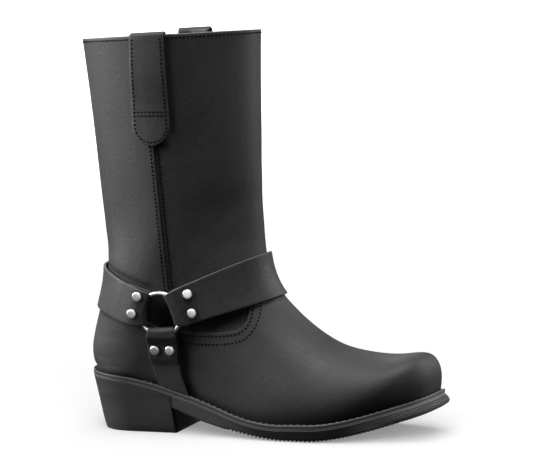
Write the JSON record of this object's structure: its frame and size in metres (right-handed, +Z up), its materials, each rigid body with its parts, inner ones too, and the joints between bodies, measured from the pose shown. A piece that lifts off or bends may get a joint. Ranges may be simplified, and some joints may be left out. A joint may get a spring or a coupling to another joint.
{
  "type": "biker boot",
  "caption": "Square-toed leather harness boot for the right foot, with straps joined by side rings, a welted sole and a block heel.",
  "frame": {"origin": "on the floor, under the middle of the boot's length and width", "axes": "+X from heel to toe, +Y to the medial side (the wearer's left), +Z up"},
  "size_m": [0.2912, 0.1106, 0.3176],
  "materials": {
    "upper_leather": "black oiled leather, satin, with a fine grain",
    "strap_leather": "black oiled strap leather with paler cut edges",
    "sole_rubber": "black moulded rubber, matt",
    "insole_fibre": "dark leather sock lining",
    "nickel": "bright nickel plate"
  },
  "bodies": {
    "root": {"outsole": "sole_rubber", "welt": "sole_rubber", "insole": "insole_fibre", "upper": "upper_leather", "instep_strap": "strap_leather", "heel_strap": "strap_leather", "sole_strap_lateral": "strap_leather", "sole_strap_medial": "strap_leather", "ring_lateral": "nickel", "ring_medial": "nickel", "rivet_instep_lateral_a": "nickel", "rivet_instep_lateral_b": "nickel", "rivet_instep_medial_a": "nickel", "rivet_instep_medial_b": "nickel", "rivet_heel_lateral_a": "nickel", "rivet_heel_lateral_b": "nickel", "rivet_heel_medial_a": "nickel", "rivet_heel_medial_b": "nickel", "rivet_sole_lateral_a": "nickel", "rivet_sole_lateral_b": "nickel", "rivet_sole_medial_a": "nickel", "rivet_sole_medial_b": "nickel", "pull_loop_lateral": "strap_leather", "pull_loop_medial": "strap_leather", "side_piping_lateral": "upper_leather", "side_piping_medial": "upper_leather"}
  },
  "joints": []
}
